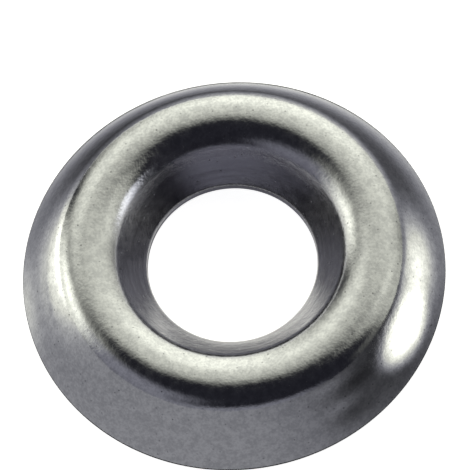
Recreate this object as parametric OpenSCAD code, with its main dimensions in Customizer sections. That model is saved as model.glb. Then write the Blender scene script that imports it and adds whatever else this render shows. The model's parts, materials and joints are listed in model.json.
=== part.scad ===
// Finishing cup washer: a ring pressed from one blank of stainless sheet. A countersunk screw sits in its conical
// seat, the crest stands round the screw's head, and the skirt carries the load out to the rim.
// The ring stands on its rim at z = 0, with its axis along Z. Lengths are in millimetres and angles in degrees.

/* [Ring] */
// Outside diameter at the rim
rim_d = 18; // [16:0.1:22]
// Height from the base to the top of the crest
height = 3.3; // [2.8:0.1:4.2]
// Thickness of the sheet
sheet = 0.5; // [0.3:0.05:0.7]

/* [Screw seat] */
// Diameter of the screw hole
hole_d = 7.2; // [6:0.1:8.4]
// Height above the base at which the seat meets the hole
hole_lift = 1.3; // [1:0.05:1.7]
// Included angle of the conical seat
seat_angle = 78; // [70:1:100]

/* [Bends] */
// Inside radius of the crown, which is the bend along the top of the crest
crown_bend = 1.6; // [1.2:0.1:2]
// Inside radius of the mouth, where the crown turns down into the seat
mouth_bend = 0.8; // [0.4:0.05:1.1]
// Angle that the mouth turns through
mouth_turn = 21; // [10:1:32]
// Inside radius of the shoulder, where the crown turns down into the skirt
shoulder_bend = 0.9; // [0.6:0.05:1.1]
// Angle that the shoulder turns through
shoulder_turn = 38; // [25:1:46]
// Radius of the skirt's outer face in section, which swells a little between shoulder and rim
skirt_r = 18; // [10:1:60]

/* [Edges] */
// Radius that the punch leaves on the hole's upper edge
hole_round = 0.3; // [0.1:0.05:0.4]
// Straight wall of the hole below that edge
hole_land = 0.15; // [0.05:0.05:0.25]
// Radius on the outer edge of the rim, up to half the sheet
rim_round = 0.25; // [0.1:0.05:0.25]

/* [Hidden] */
$fn = 160;
// How far a facet may lie inside the arc of a bend
facet_depth = 0.001;

// Unit vector in the section that leans outwards from straight up by an angle
function bearing(a) = [sin(a), cos(a)];
// The lean of a vector in the section, outwards from straight up
function lean(v) = atan2(v.x, v.y);

// A bend is [centre, radius, lean where it starts, lean where it ends], going inwards over the sheet from rim to hole
function point(bend, part) = bend[0] + bend[1] * bearing(bend[2] + (bend[3] - bend[2]) * part);
function start(bend) = point(bend, 0);
function steps(bend) = ceil((bend[2] - bend[3]) / (2 * acos(1 - facet_depth / bend[1])));
// Points along a bend, without its start, where the bend before it ends
function arc(bend) = [for (i = [1:steps(bend)]) point(bend, i / steps(bend))];
// The same bend on the underside of the sheet
function under(bend) = [bend[0], bend[1] - sheet, bend[2], bend[3]];

hole_r = hole_d / 2;
seat_slope = 90 - seat_angle / 2;
crown_r = crown_bend + sheet;
mouth_r = mouth_bend + sheet;
shoulder_r = shoulder_bend + sheet;

// The crest lies where the crown, coming down through the mouth, runs straight into the seat
seat_depth = height - crown_r - hole_lift;
mouth_reach = (crown_r - mouth_r) * cos(mouth_turn) + mouth_r;
crest_r = hole_r + (seat_depth * cos(seat_slope) + mouth_reach) / sin(seat_slope);
crown_at = [crest_r, height - crown_r];
mouth_at = crown_at + (crown_r - mouth_r) * bearing(mouth_turn - seat_slope);

// The hole's edge touches the seat above it and the hole's wall beside it
edge_at = [hole_r + hole_round, hole_lift - hole_round * tan(45 - seat_slope / 2)];

// The rim keeps a flat ring to stand on, because its rounded edge takes no more than half the sheet
rim_r = min(rim_round, sheet / 2);
rim_at = [rim_d / 2 - rim_r, rim_r];

// The skirt's centre is at a known distance from the crown's centre and from the centre of the rim's rounded edge
crown_to_skirt = (crown_r - shoulder_r) * bearing(-shoulder_turn) - (skirt_r - shoulder_r) * bearing(0);
span = rim_at - crown_at;
along = (crown_to_skirt * crown_to_skirt - (skirt_r - rim_r) ^ 2 + span * span) / (2 * norm(span));
across = sqrt(crown_to_skirt * crown_to_skirt - along ^ 2);
skirt_at = crown_at + (along * span + across * [span.y, -span.x]) / norm(span);
skirt_top = (lean(skirt_at - crown_at) - lean(crown_to_skirt) + 360) % 360;
skirt_foot = lean(rim_at - skirt_at);
shoulder_at = crown_at + (crown_r - shoulder_r) * bearing(skirt_top - shoulder_turn);

rim = [rim_at, rim_r, 180, skirt_foot];
skirt = [skirt_at, skirt_r, skirt_foot, skirt_top];
shoulder = [shoulder_at, shoulder_r, skirt_top, skirt_top - shoulder_turn];
crown = [crown_at, crown_r, skirt_top - shoulder_turn, mouth_turn - seat_slope];
mouth = [mouth_at, mouth_r, mouth_turn - seat_slope, -seat_slope];
edge = [edge_at, hole_round, -seat_slope, -90];

// Far enough to run a straight face of the underside right through the base
run_out = 2 * height;

// Everything below the top face of the sheet, down to the base
module outer_form() {
    bends = [rim, skirt, shoulder, crown, mouth];
    polygon(concat(
        [start(rim)],
        [for (bend = bends) each arc(bend)],
        [start(edge)],
        arc(edge),
        [[hole_r, 0]]
    ));
}

// Everything below the underside of the sheet, with the skirt and the seat run out past the base
module hollow() {
    bends = [for (bend = [skirt, shoulder, crown, mouth]) under(bend)];
    skirt_end = start(bends[0]);
    seat_end = point(bends[3], 1);
    polygon(concat(
        [skirt_end + run_out * bearing(skirt_foot + 90), skirt_end],
        [for (bend = bends) each arc(bend)],
        [seat_end + run_out * bearing(-seat_slope - 90)]
    ));
}

// The hole is pierced in the flat blank, so below its straight wall the cut stands square to the seat
module pierced_cut() {
    wall_foot = edge_at + [-hole_round, -hole_land];
    polygon([
        wall_foot,
        wall_foot + run_out * bearing(-seat_slope - 90),
        wall_foot + run_out * bearing(180 - seat_slope)
    ]);
}

module cup_washer() {
    color([0.72, 0.72, 0.70])
        rotate_extrude()
            difference() {
                outer_form();
                hollow();
                pierced_cut();
            }
}

cup_washer();
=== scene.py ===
"""A finishing cup washer of pressed stainless sheet, standing on its rim on a pale floor in studio light."""
import json

import bpy
import numpy as np
from mathutils import Matrix, Vector


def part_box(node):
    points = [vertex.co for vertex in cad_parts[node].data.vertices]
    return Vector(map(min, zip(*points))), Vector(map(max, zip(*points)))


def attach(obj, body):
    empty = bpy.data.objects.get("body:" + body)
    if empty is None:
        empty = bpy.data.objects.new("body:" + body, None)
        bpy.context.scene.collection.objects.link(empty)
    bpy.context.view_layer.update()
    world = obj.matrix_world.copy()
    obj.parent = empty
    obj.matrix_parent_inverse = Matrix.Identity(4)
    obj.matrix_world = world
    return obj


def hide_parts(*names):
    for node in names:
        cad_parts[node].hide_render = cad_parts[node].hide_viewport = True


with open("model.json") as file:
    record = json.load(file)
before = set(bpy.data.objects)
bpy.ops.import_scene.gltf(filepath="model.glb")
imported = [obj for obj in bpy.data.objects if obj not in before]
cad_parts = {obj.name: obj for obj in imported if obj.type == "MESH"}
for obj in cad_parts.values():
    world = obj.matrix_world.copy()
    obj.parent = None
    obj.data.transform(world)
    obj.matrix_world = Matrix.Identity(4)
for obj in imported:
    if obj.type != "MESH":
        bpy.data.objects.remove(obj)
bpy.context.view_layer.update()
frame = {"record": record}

# The washer is one blank of stainless sheet, pierced for the screw and pressed to a ring, hollow below.
# Its section runs from the rim up the skirt, round shoulder, crown and mouth, and down the seat to the hole.
# Rim, height and hole come from the frame. The bends repeat the section of the pressed part. Sizes are in mm.
MM = 0.001
node_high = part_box("cup_washer")[1]
rim_radius = node_high.x / MM
height = node_high.z / MM
hole_mount = next(m for m in frame["record"]["mounts"] if m["name"] == "screw_hole")
hole_radius = hole_mount["dims"]["r_mm"]
hole_land = hole_mount["dims"]["length_mm"]
sheet = 0.5
hole_lift = 1.3
seat_slope = 51.0
crown_bend = 1.6
mouth_bend = 0.8
mouth_turn = 21.0
shoulder_bend = 0.9
shoulder_turn = 38.0
skirt_radius = 18.0
hole_round = 0.3
rim_round = 0.25
fine = 0.06
coarse = 0.16
turns = 384


def bearing(lean):
    """Unit vector (r, z) in the section that leans outwards from straight up by an angle in degrees."""
    angle = np.radians(lean)
    return np.stack([np.sin(angle), np.cos(angle)], -1)


def lean_of(vector):
    """The lean of a vector in the section, outwards from straight up, in degrees."""
    return np.degrees(np.arctan2(vector[0], vector[1]))


def bend(centre, radius, lean_from, lean_to, spacing):
    """Points of an arc in the section: centre plus radius times the bearing, at about that spacing in mm."""
    count = int(np.ceil(np.radians(abs(lean_to - lean_from)) * radius / spacing)) + 1
    return centre + radius * bearing(np.linspace(lean_from, lean_to, count))


def straight(start, end, spacing):
    """Points between two ends of a straight stretch, without the ends, at about that spacing in mm."""
    count = int(np.ceil(np.linalg.norm(end - start) / spacing))
    return start + (end - start) * (np.arange(1, count) / count)[:, None]


def washer_section():
    """The closed outline (r, z) of the sheet in mm, anticlockwise from the base.

    The crest lies where the crown, coming down through the mouth, runs straight into the seat. The skirt is
    an arc that touches the shoulder above and the rim's rounded edge below, so its centre is where two
    circles meet."""
    crown_r, mouth_r, shoulder_r = crown_bend + sheet, mouth_bend + sheet, shoulder_bend + sheet
    slope = np.radians(seat_slope)
    reach = (crown_r - mouth_r) * np.cos(np.radians(mouth_turn)) + mouth_r
    crest = hole_radius + ((height - crown_r - hole_lift) * np.cos(slope) + reach) / np.sin(slope)
    crown_at = np.array([crest, height - crown_r])
    mouth_at = crown_at + (crown_r - mouth_r) * bearing(mouth_turn - seat_slope)
    rim_at = np.array([rim_radius - rim_round, rim_round])
    edge_at = np.array([hole_radius + hole_round, hole_lift - hole_round * np.tan(np.pi / 4 - slope / 2)])

    to_skirt = (crown_r - shoulder_r) * bearing(-shoulder_turn) - (skirt_radius - shoulder_r) * bearing(0.0)
    span = rim_at - crown_at
    gap = np.linalg.norm(span)
    along = (to_skirt @ to_skirt - (skirt_radius - rim_round) ** 2 + gap ** 2) / (2 * gap)
    across = np.sqrt(to_skirt @ to_skirt - along ** 2)
    skirt_at = crown_at + (along * span + across * np.array([span[1], -span[0]])) / gap
    skirt_top = (lean_of(skirt_at - crown_at) - lean_of(to_skirt)) % 360
    skirt_foot = lean_of(rim_at - skirt_at)
    shoulder_at = crown_at + (crown_r - shoulder_r) * bearing(skirt_top - shoulder_turn)

    edge_start = edge_at + hole_round * bearing(-seat_slope)
    mouth_end = mouth_at + mouth_r * bearing(-seat_slope)
    upper = [
        bend(rim_at, rim_round, 180.0, skirt_foot, fine / 2),
        bend(skirt_at, skirt_radius, skirt_foot, skirt_top, fine)[1:],
        bend(shoulder_at, shoulder_r, skirt_top, skirt_top - shoulder_turn, fine / 3)[1:],
        bend(crown_at, crown_r, skirt_top - shoulder_turn, mouth_turn - seat_slope, fine)[1:],
        bend(mouth_at, mouth_r, mouth_turn - seat_slope, -seat_slope, fine)[1:],
        straight(mouth_end, edge_start, fine),
        bend(edge_at, hole_round, -seat_slope, -90.0, fine / 2),
    ]
    wall_foot = edge_at - np.array([hole_round, hole_land])
    cut_depth = sheet - (wall_foot - edge_start) @ -bearing(-seat_slope)
    cut_foot = wall_foot - cut_depth * bearing(-seat_slope)
    seat_under = mouth_at + mouth_bend * bearing(-seat_slope)
    skirt_under = skirt_at + (skirt_radius - sheet) * bearing(skirt_foot)
    run_down = bearing(skirt_foot + 90.0)
    base_inner = skirt_under - run_down * skirt_under[1] / run_down[1]
    lower = [
        straight(upper[-1][-1], wall_foot, fine),
        [wall_foot],
        straight(wall_foot, cut_foot, fine),
        [cut_foot],
        straight(cut_foot, seat_under, coarse),
        bend(mouth_at, mouth_bend, -seat_slope, mouth_turn - seat_slope, coarse),
        bend(crown_at, crown_bend, mouth_turn - seat_slope, skirt_top - shoulder_turn, coarse)[1:],
        bend(shoulder_at, shoulder_bend, skirt_top - shoulder_turn, skirt_top, coarse / 4)[1:],
        bend(skirt_at, skirt_radius - sheet, skirt_top, skirt_foot, coarse)[1:],
        straight(skirt_under, base_inner, coarse),
        [base_inner],
        straight(base_inner, upper[0][0], fine),
    ]
    return np.concatenate([np.reshape(part, (-1, 2)) for part in upper + lower])


def revolve(section, columns):
    """Points (x, y, z) on a grid of section points by even angles a: x = r cos a, y = r sin a, z as it is."""
    angle = np.linspace(0.0, 2 * np.pi, columns, endpoint=False)
    r, z = section[:, :1], section[:, 1:]
    return np.stack([r * np.cos(angle), r * np.sin(angle), z + 0 * angle], -1)


def wrapped_quads(rows, columns):
    """Faces of a grid that closes on itself both ways, facing out of a section that runs anticlockwise."""
    row, column = np.meshgrid(np.arange(rows), np.arange(columns), indexing="ij")
    next_row, next_column = (row + 1) % rows, (column + 1) % columns
    corners = [(row, column), (row, next_column), (next_row, next_column), (next_row, column)]
    return np.stack([i * columns + j for i, j in corners], -1).reshape(-1, 4)


def mesh_object(name, points, faces):
    """A smooth mesh object at the origin, from an array of points in mm and an array of faces."""
    mesh = bpy.data.meshes.new(name)
    mesh.from_pydata((points * MM).reshape(-1, 3), [], faces.tolist())
    mesh.polygons.foreach_set("use_smooth", np.ones(len(faces), bool))
    mesh.update()
    obj = bpy.data.objects.new(name, mesh)
    bpy.context.scene.collection.objects.link(obj)
    return obj


section = washer_section()
washer = mesh_object("pressed_washer", revolve(section, turns), wrapped_quads(len(section), turns))


def linear(hex_colour):
    """Linear RGBA of an sRGB hex colour."""
    srgb = np.array([int(hex_colour[i:i + 2], 16) for i in (1, 3, 5)]) / 255
    low, high = srgb / 12.92, ((srgb + 0.055) / 1.055) ** 2.4
    return (*np.where(srgb <= 0.04045, low, high).tolist(), 1.0)


def add(tree, kind, inputs=(), **settings):
    """Adds a node with its settings. Each input pairs a socket with a value, an output or a node, and a node
    stands for its first output."""
    node = tree.nodes.new(kind)
    for name, value in settings.items():
        setattr(node, name, value)
    for socket, value in inputs:
        if isinstance(value, bpy.types.Node):
            value = value.outputs[0]
        if isinstance(value, bpy.types.NodeSocket):
            tree.links.new(value, node.inputs[socket])
        else:
            node.inputs[socket].default_value = value
    return node


# Stainless sheet, tumbled after pressing: neutral, with a short blur, slight waves, fine peel and dark pits.
# The punch draws fine rings into the seat. Lengths are in millimetres, and heights in micrometres.
# Real grain is finer than a pixel of the render, so it is drawn at a tenth of a millimetre, where it shows.
wave_length = 1.6
wave_height = 9.0
peel_length = 0.34
peel_height = 4.5
grain_length = 0.11
grain_height = 3.6
ring_spacing = 0.12
ring_height = 2.0
ring_drift = 0.04
pit_spacing = 0.32
pit_core = 0.012
pit_edge = 0.055
pit_depth = 1.2
seat_end_from = 4.6
seat_end_to = 5.3
# The seat's darkening is partly its duller drawn finish and partly painted shade.
seat_darkening = 0.8
uneven_range = (0.8, 1.2)
ring_range = (0.45, 0.75)
rough_range = (0.3, 1.0)
pit_roughening = 0.6
seat_roughening = 0.08
least_rough = 0.11
most_rough = 0.21
micrometre = 1e-6
steel = bpy.data.materials.new("tumbled_stainless_sheet")
steel.use_nodes = True
tree = steel.node_tree
shader = tree.nodes["Principled BSDF"]
shader.inputs["Metallic"].default_value = 1.0
place = add(tree, "ShaderNodeTexCoord")
at = add(tree, "ShaderNodeVectorMath", [(0, place.outputs["Object"]), ("Scale", 1 / MM)], operation="SCALE")
waves = add(tree, "ShaderNodeTexNoise", [("Vector", at), ("Scale", 1 / wave_length), ("Detail", 1.0)])
peel = add(tree, "ShaderNodeTexNoise", [("Vector", at), ("Scale", 1 / peel_length), ("Detail", 2.0)])
grain = add(tree, "ShaderNodeTexNoise", [("Vector", at), ("Scale", 1 / grain_length), ("Detail", 2.0)])
cells = add(tree, "ShaderNodeTexVoronoi", [("Vector", at), ("Scale", 1 / pit_spacing)])
pits = add(tree, "ShaderNodeMapRange", [("Value", cells.outputs["Distance"]), (1, pit_core / pit_spacing),
                                        (2, pit_edge / pit_spacing), (3, 1.0), (4, 0.0)],
           interpolation_type="SMOOTHSTEP")

# The rings follow the distance from the axis, and drift slowly round it so that none runs quite evenly.
flat = add(tree, "ShaderNodeVectorMath", [(0, at), (1, (1.0, 1.0, 0.0))], operation="MULTIPLY")
radius = add(tree, "ShaderNodeVectorMath", [(0, flat)], operation="LENGTH").outputs["Value"]
drift = add(tree, "ShaderNodeVectorMath", [(0, flat), ("Scale", ring_drift)], operation="SCALE")
outwards = add(tree, "ShaderNodeCombineXYZ", [("Z", radius)])
ring_at = add(tree, "ShaderNodeVectorMath", [(0, drift), (1, outwards)], operation="ADD")
rings = add(tree, "ShaderNodeTexNoise", [("Vector", ring_at), ("Scale", 1 / ring_spacing), ("Detail", 2.0)])
on_seat = add(tree, "ShaderNodeMapRange", [("Value", radius), (1, seat_end_from), (2, seat_end_to),
                                           (3, 1.0), (4, 0.0)],
              interpolation_type="SMOOTHSTEP")
drawn = add(tree, "ShaderNodeMath", [(0, rings), (1, on_seat)], operation="MULTIPLY")

relief = add(tree, "ShaderNodeMath", [(0, waves), (1, wave_height)], operation="MULTIPLY")
for layer, rise in ((peel, peel_height), (grain, grain_height), (drawn, ring_height), (pits, -pit_depth)):
    relief = add(tree, "ShaderNodeMath", [(0, layer), (1, rise), (2, relief)], operation="MULTIPLY_ADD")
bump = add(tree, "ShaderNodeBump", [("Height", relief), ("Distance", micrometre), ("Strength", 1.0)])
tree.links.new(bump.outputs[0], shader.inputs["Normal"])

# Grain and peel change the tone a little, and the pits are dark grey. The seat and its rings are darker: the
# drawn finish is duller, and the seat's darkening is partly painted shade in the recess round the hole.
uneven = add(tree, "ShaderNodeMath", [(0, peel), (1, grain)], operation="ADD")
uneven = add(tree, "ShaderNodeMapRange", [("Value", uneven), (1, uneven_range[0]), (2, uneven_range[1])])
seat_finish_and_shade = add(tree, "ShaderNodeMath", [(0, on_seat), (1, seat_darkening)], operation="MULTIPLY")
ring_shade = add(tree, "ShaderNodeMapRange", [("Value", drawn), (1, ring_range[0]), (2, ring_range[1])])
pit_shade = add(tree, "ShaderNodeMath", [(0, pits), (1, cells.outputs["Color"])], operation="MULTIPLY")
tone = add(tree, "ShaderNodeMix", [(0, uneven), (6, linear("#B1B2B3")), (7, linear("#C8C9C9"))],
           data_type="RGBA")
for share, colour in ((seat_finish_and_shade, "#8E8D94"), (ring_shade, "#848389"), (pit_shade, "#4A4A4F")):
    tone = add(tree, "ShaderNodeMix", [(0, share), (6, tone.outputs[2]), (7, linear(colour))],
               data_type="RGBA")
tree.links.new(tone.outputs[2], shader.inputs["Base Color"])

# The peel varies the blur of the reflections, and pits and seat are a little rougher.
rough = add(tree, "ShaderNodeMath", [(0, pits), (1, pit_roughening), (2, peel)], operation="MULTIPLY_ADD")
rough = add(tree, "ShaderNodeMapRange", [("Value", rough), (1, rough_range[0]), (2, rough_range[1]),
                                         (3, least_rough), (4, most_rough)])
rough = add(tree, "ShaderNodeMath", [(0, on_seat), (1, seat_roughening), (2, rough)],
            operation="MULTIPLY_ADD")
tree.links.new(rough.outputs[0], shader.inputs["Roughness"])
washer.data.materials.append(steel)
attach(washer, "root")
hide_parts("cup_washer")

# The floor is a pale matt sheet, and a low wall of the same paper runs round it for the views from low down.
# Both are white to the camera and in reflections, and the floor takes the washer's shadow.
floor_half = 400.0
floor_drop = 0.01
wall_radius = 380.0
wall_height = 40.0
wall_columns = 96
paper_glow = 0.92
corner = np.array([[-1, -1, 0], [1, -1, 0], [1, 1, 0], [-1, 1, 0]], float)
floor = mesh_object("floor", corner * floor_half - [0, 0, floor_drop], np.array([[0, 1, 2, 3]]))
wall_points = revolve(np.array([[wall_radius, 0.0], [wall_radius, wall_height]]), wall_columns)
backdrop = mesh_object("backdrop", wall_points, wrapped_quads(2, wall_columns)[:wall_columns])
paper = bpy.data.materials.new("matt_white_paper")
paper.use_nodes = True
tree = paper.node_tree
tree.nodes.clear()
path = add(tree, "ShaderNodeLightPath")
seen = add(tree, "ShaderNodeMath", [(0, path.outputs["Is Camera Ray"]), (1, path.outputs["Is Glossy Ray"])],
           operation="MAXIMUM")
seen = add(tree, "ShaderNodeMath", [(0, seen), (1, path.outputs["Is Transmission Ray"])], operation="MAXIMUM")
glow = add(tree, "ShaderNodeMath", [(0, seen), (1, paper_glow)], operation="MULTIPLY")
matt = add(tree, "ShaderNodeBsdfDiffuse", [("Color", linear("#F2F2F0"))])
shine = add(tree, "ShaderNodeEmission", [("Color", linear("#FFFFFF")), ("Strength", glow)])
both = add(tree, "ShaderNodeAddShader", [(0, matt), (1, shine)])
add(tree, "ShaderNodeOutputMaterial", [("Surface", both)])
for sheet_of_paper in (floor, backdrop):
    sheet_of_paper.data.materials.append(paper)

# Low glowing cards, seen only in reflections, stand close round the washer, and others lie under its hole and
# rim.
# They are no lamps: their glow paints reflections, highlights and shade into the metal. The ring is grey in
# front, bright at both sides and dark behind, with a pale foot and top there, all as painted reflections.
# The card under the hole is dark and turns grey further out, with a pale band that is missing at the back:
# painted shade of the floor in the washer's shadow, with a painted pale reflection.
card_radius = 9.3
card_foot = 0.02
card_height = 3.25
card_columns = 360
card_rows = 81
card_base = 0.02
card_darkest = 0.01
# Each patch paints a highlight, or with a level below 0 a dark line, into the ring's painted reflections.
painted_reflection_patches = {
    "front_grey": (240, 1.0, 60, 6.0, 0.4, 2),
    "right_light": (330, 1.6, 12, 0.8, 3.0, 2),
    "right_tail": (350, 1.7, 15, 0.8, 2.0, 1),
    "left_light": (170, 3.2, 20, 1.6, 3.0, 1),
    "left_foot": (180, 0.2, 12, 0.6, 0.6, 1),
    "left_dark_line": (178, 1.6, 12, 0.1, -0.4, 1),
    "back_foot": (75, -0.7, 80, 1.2, 1.4, 1),
    "back_top": (60, 4.0, 55, 1.5, 1.3, 1),
    "front_right_dark": (303, 2.1, 9, 0.4, -0.08, 1),
    "upper_streak": (297, 2.7, 6, 0.2, 0.1, 1),
    "middle_streak": (297, 1.6, 4, 0.2, 0.1, 1),
    "lower_dark": (299, 1.0, 7, 0.4, -0.1, 1),
}
# The card under the hole paints shade: a dark glowing sheet where the floor lies in the washer's shadow.
under_radius = 8.4
under_rows = 169
under_middle = 0.01
under_painted_shade = 0.22
under_pale = 1.75
under_grey = 0.30
under_grey_slope = 0.02
under_back = 80
under_back_reach = 0.45
band_shift = 0.12
band_squeeze = 1.15
band_inner_edge = (1.42, 1.70)
band_outer_edge = (2.5, 3.1)
grey_edge = (2.2, 4.6)
# The strip round the rim is painted shadow: a dark sheet standing for the floor's contact shadow.
strip_height = 0.015
strip_under_rim = 0.6
painted_rim_shadow_tone = 0.03
cool_below = 0.3
warm_above = 1.2


def smooth(start, end, value):
    """Rises from 0 at start to 1 at end, level at both ends: 3 t^2 - 2 t^3."""
    t = np.clip((value - start) / (end - start), 0.0, 1.0)
    return t * t * (3 - 2 * t)


def ring_tone(angle, z):
    """How brightly the ring of cards glows by azimuth in degrees and height in mm, painting reflections into
    the metal: a base plus a bell per patch.

    A patch is (azimuth, height, reach round, reach up, level, edge). With d^2 = (a / reach round)^2 +
    (h / reach up)^2 its bell is level * exp(-d^(2 edge)), so a higher edge gives a sharper one. A dark patch
    has a level below 0."""
    tone = card_base
    for azimuth, middle, reach_round, reach_up, level, edge in painted_reflection_patches.values():
        away = (angle - azimuth + 180.0) % 360.0 - 180.0
        square = (away / reach_round) ** 2 + ((z - middle) / reach_up) ** 2
        tone = tone + level * np.exp(-square ** edge)
    return np.maximum(tone, card_darkest)


def under_tone(angle, r):
    """How bright the card under the hole is by azimuth in degrees and radius in mm: dark, turning to grey
    further out, plus a pale band round the axis that dies away towards the back. The dark is painted shade of
    the floor under the washer, and the band is a painted reflection."""
    front = smooth(0.0, under_back_reach, 1.0 - np.cos(np.radians(angle - under_back)))
    x, y = r * np.cos(np.radians(angle)), r * np.sin(np.radians(angle))
    band = smooth(*band_inner_edge, np.hypot(band_squeeze * (x + band_shift), y))
    band = band * (1.0 - smooth(*band_outer_edge, r)) * front
    grey = under_grey + under_grey_slope * x
    return under_painted_shade + (grey - under_painted_shade) * smooth(*grey_edge, r) + (under_pale - under_painted_shade) * band


def lit_card(name, points, tone):
    """A glowing card on a grid that closes round the axis, with its brightness as a point attribute. Its glow
    paints reflections.
    """
    rows, columns = points.shape[:2]
    card = mesh_object(name, points, wrapped_quads(rows, columns)[:(rows - 1) * columns])
    level = card.data.attributes.new("tone", "FLOAT", "POINT")
    level.data.foreach_set("value", np.ravel(tone).astype(np.float32))
    card.data.materials.append(card_paint)
    card.visible_camera = False
    card.visible_diffuse = False
    card.visible_shadow = False


# The cards glow by their own tone, unlit by the lamps: painted light seen only in reflections.
card_paint = bpy.data.materials.new("lit_card")
card_paint.use_nodes = True
tree = card_paint.node_tree
tree.nodes.clear()
tone = add(tree, "ShaderNodeAttribute", attribute_name="tone")
bright = add(tree, "ShaderNodeMapRange", [("Value", tone.outputs["Fac"]), (1, cool_below), (2, warm_above)])
tint = add(tree, "ShaderNodeMix", [(0, bright), (6, linear("#F3F3FF")), (7, linear("#FFFFF4"))],
           data_type="RGBA")
glow = add(tree, "ShaderNodeEmission", [("Color", tint.outputs[2]), ("Strength", tone.outputs["Fac"])])
add(tree, "ShaderNodeOutputMaterial", [("Surface", glow)])
card_angle = np.linspace(0.0, 360.0, card_columns, endpoint=False)
card_z = np.linspace(card_foot, card_height, card_rows)
wall = revolve(np.stack([np.full_like(card_z, card_radius), card_z], -1), card_columns)
lit_card("card_ring", wall, ring_tone(card_angle, card_z[:, None]))
# A dark strip on the floor round the rim paints the contact shadow into the reflections of the rounded rim.
strip_r = np.array([rim_radius - strip_under_rim, card_radius])
strip = revolve(np.stack([strip_r, np.full_like(strip_r, strip_height)], -1), card_columns)
lit_card("card_round_rim", strip, np.full((2, card_columns), painted_rim_shadow_tone))
under_r = np.linspace(under_middle, under_radius, under_rows)
under = revolve(np.stack([under_r, np.full_like(under_r, card_foot)], -1), card_columns)
lit_card("card_under_hole", under, under_tone(card_angle, under_r[:, None]))

# Soft lamps stand behind the washer and at its sides, with weak cool fills in front. The room is nearly dark.
# Each is (name, azimuth, elevation, width, height, radiance, colour), in degrees as seen from the washer.
lamp_distance = 0.5
lamp_fade = 0.38
warm = "#FEFFF1"
cool = "#EEEEFF"
room = "#2A2A32"
lamps = [
    ("back_softbox", 70, 25, 115, 125, 0.85, warm),
    ("back_core", 75, 25, 60, 60, 0.5, warm),
    ("left_strip", 160, 10, 60, 75, 1.2, warm),
    ("left_high", 160, 35, 30, 40, 0.6, warm),
    ("back_left", 140, 45, 75, 50, 0.35, warm),
    ("right_strip", 340, 20, 40, 30, 0.1, warm),
    ("right_fill", 0, 10, 45, 130, 0.6, warm),
    ("left_fill", 205, 30, 75, 65, 0.25, cool),
    ("front_fill", 265, 15, 90, 35, 0.25, cool),
]


def direction(azimuth, elevation):
    """Unit vector into the studio: azimuth from +X towards +Y and elevation above the floor, in degrees."""
    a, e = np.radians(azimuth), np.radians(elevation)
    return Vector((np.cos(a) * np.cos(e), np.sin(a) * np.cos(e), np.sin(e)))


def softbox(name, place, away, width, tall, radiance, colour):
    """A softbox at a point, with its back turned away, even in the middle and fading over its outer part.

    An area lamp shows a radiance of energy / (4 * area), so its energy is 4 * width * tall * radiance."""
    lamp = bpy.data.lights.new(name, "AREA")
    lamp.shape = "RECTANGLE"
    lamp.size = width
    lamp.size_y = tall
    lamp.energy = 4 * width * tall * radiance
    lamp.color = linear(colour)[:3]
    lamp.use_nodes = True
    tree = lamp.node_tree
    cloth = add(tree, "ShaderNodeNewGeometry")
    centred = add(tree, "ShaderNodeVectorMath", [(0, cloth.outputs["Parametric"]), (1, (0.5, 0.5, 0.0))],
                  operation="SUBTRACT")
    aside = add(tree, "ShaderNodeVectorMath", [(0, centred)], operation="ABSOLUTE")
    inner = 0.5 - lamp_fade
    faded = add(tree, "ShaderNodeMapRange", [("Vector", aside), (7, (0.5, 0.5, 1.0)),
                                             (8, (inner, inner, 0.0))],
                data_type="FLOAT_VECTOR", interpolation_type="SMOOTHSTEP")
    sides = add(tree, "ShaderNodeSeparateXYZ", [(0, faded.outputs["Vector"])])
    level = add(tree, "ShaderNodeMath", [(0, sides.outputs["X"]), (1, sides.outputs["Y"])],
                operation="MULTIPLY")
    tree.links.new(level.outputs[0], tree.nodes["Emission"].inputs["Strength"])
    obj = bpy.data.objects.new(name, lamp)
    obj.location = place
    obj.rotation_euler = away.to_track_quat("Z", "Y").to_euler()
    obj.visible_camera = False
    bpy.context.scene.collection.objects.link(obj)
    return obj


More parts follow.
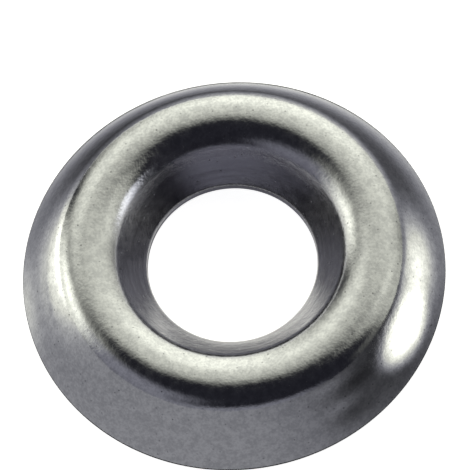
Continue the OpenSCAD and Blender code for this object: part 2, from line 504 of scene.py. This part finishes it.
for name, azimuth, elevation, width, tall, radiance, colour in lamps:
    away = direction(azimuth, elevation)
    span = 2 * lamp_distance * np.tan(np.radians([width, tall]) / 2)
    softbox(name, away * lamp_distance, away, *span, radiance, colour)

# A small lamp close above the hole lights only the left of the mouth, from where the metal mirrors it.
mouth_lamp_at = Vector((4.7, 0.7, 7.6)) * MM
mouth_lamp_width = 3.1 * MM
mouth_lamp_tall = 8.9 * MM
mouth_lamp_radiance = 1.6
mouth_lamp_away = direction(345, 0)
mouth_lamp = softbox("mouth_lamp", mouth_lamp_at, mouth_lamp_away, mouth_lamp_width, mouth_lamp_tall,
                     mouth_lamp_radiance, "#F6F8FF")
mouth_lamp.visible_diffuse = False

world = bpy.data.worlds.new("studio")
bpy.context.scene.world = world
world.use_nodes = True
world.node_tree.nodes["Background"].inputs["Color"].default_value = linear(room)

# The camera looks down at the washer from in front, turned a little about its own axis.
# A point on the axis, at about half the washer's height, lands on a given pixel of the picture.
camera_elevation = 65.35
camera_roll = -8.6
camera_distance = 0.225
pixels_per_mm = 23.65
frame_pixels = 470.0
target_height = 1.57
target = Vector((0, 0, target_height * MM))
target_pixel = (231.9, 260.5)
back = direction(-90, camera_elevation)
side = Vector((1, 0, 0))
up = back.cross(side)
turn = np.radians(camera_roll)
right = side * np.cos(turn) + up * np.sin(turn)
top = up * np.cos(turn) - side * np.sin(turn)
aim = target + right * ((frame_pixels / 2 - target_pixel[0]) / pixels_per_mm * MM)
aim += top * ((target_pixel[1] - frame_pixels / 2) / pixels_per_mm * MM)
view = bpy.data.cameras.new("camera")
view.sensor_width = 36.0
view.lens = view.sensor_width * camera_distance * pixels_per_mm / MM / frame_pixels
view.clip_start = 0.01
view.clip_end = 5.0
camera = bpy.data.objects.new("camera", view)
facing = Matrix((right, top, back)).transposed().to_4x4()
camera.matrix_world = Matrix.Translation(aim + back * camera_distance) @ facing
bpy.context.scene.collection.objects.link(camera)
bpy.context.scene.camera = camera
bpy.context.scene.view_settings.view_transform = "Standard"

bpy.context.view_layer.update()
